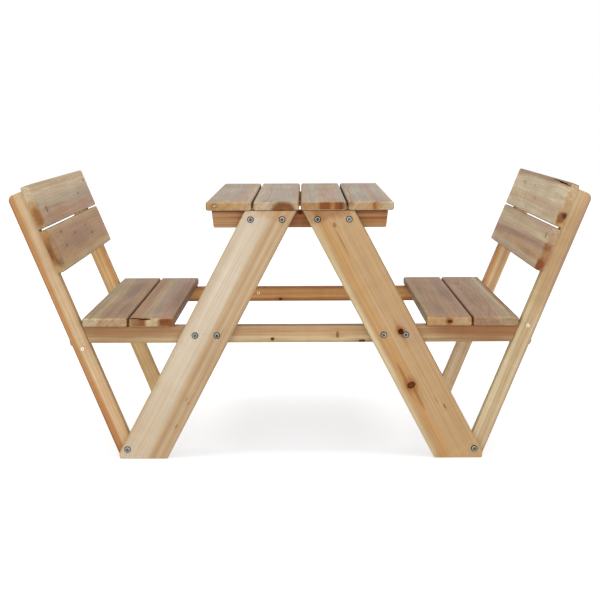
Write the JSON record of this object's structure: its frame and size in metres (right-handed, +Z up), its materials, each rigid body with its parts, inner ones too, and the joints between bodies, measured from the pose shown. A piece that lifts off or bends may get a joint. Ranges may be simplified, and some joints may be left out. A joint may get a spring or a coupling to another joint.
{
  "type": "kids picnic table",
  "caption": "Small A-frame wooden picnic table for children, with slatted top, slatted seats on both sides and leaning slatted backrests.",
  "frame": {"origin": "on the floor, in the middle of the table's outline", "axes": "+X across the two seats, to the right in the picture; +Y along the boards, away from the camera; +Z up"},
  "size_m": [1.1436, 0.803, 0.5437],
  "materials": {
    "tabletop": "planed, untreated fir, weathered to a greyish tan on its faces",
    "seat": "planed, untreated fir, greyish tan",
    "back": "planed, untreated fir, greyish tan",
    "cleat": "planed, untreated fir, reddish brown",
    "rail": "planed, untreated fir, tan with knots; the rear one is redder",
    "leg_pale": "planed, untreated fir, pale cream with a tan edge",
    "leg_tan": "planed, untreated fir, warm tan with knots",
    "post": "planed, untreated fir, warm tan",
    "zinc": "zinc-plated steel, satin"
  },
  "bodies": {
    "root": {"back_board_left_lower": "back", "back_board_left_upper": "back", "back_board_right_lower": "back", "back_board_right_upper": "back", "back_post_front_left": "post", "leg_front_left": "leg_pale", "cleat_bolt_front_left_inner": "zinc", "rail_bolt_front_left_inner": "zinc", "cleat_bolt_front_left_outer": "zinc", "rail_bolt_front_left_outer": "zinc", "foot_bolt_front_left": "zinc", "post_bolt_front_left": "zinc", "back_post_front_right": "post", "leg_front_right": "leg_tan", "cleat_bolt_front_right_inner": "zinc", "rail_bolt_front_right_inner": "zinc", "cleat_bolt_front_right_outer": "zinc", "rail_bolt_front_right_outer": "zinc", "foot_bolt_front_right": "zinc", "post_bolt_front_right": "zinc", "seat_rail_front": "rail", "tabletop_cleat_front": "cleat", "back_post_rear_left": "post", "leg_rear_left": "leg_pale", "cleat_bolt_rear_left_inner": "zinc", "rail_bolt_rear_left_inner": "zinc", "cleat_bolt_rear_left_outer": "zinc", "rail_bolt_rear_left_outer": "zinc", "foot_bolt_rear_left": "zinc", "post_bolt_rear_left": "zinc", "back_post_rear_right": "post", "leg_rear_right": "leg_tan", "cleat_bolt_rear_right_inner": "zinc", "rail_bolt_rear_right_inner": "zinc", "cleat_bolt_rear_right_outer": "zinc", "rail_bolt_rear_right_outer": "zinc", "foot_bolt_rear_right": "zinc", "post_bolt_rear_right": "zinc", "seat_rail_rear": "rail", "tabletop_cleat_rear": "cleat", "seat_board_left_inner": "seat", "seat_board_left_outer": "seat", "seat_board_right_inner": "seat", "seat_board_right_outer": "seat", "tabletop_board_1": "tabletop", "tabletop_board_2": "tabletop", "tabletop_board_3": "tabletop", "tabletop_board_4": "tabletop", "ring_screw_post_left": "zinc", "ring_screw_post_right": "zinc", "ring_screw_rail_rear": "zinc"}
  },
  "joints": []
}
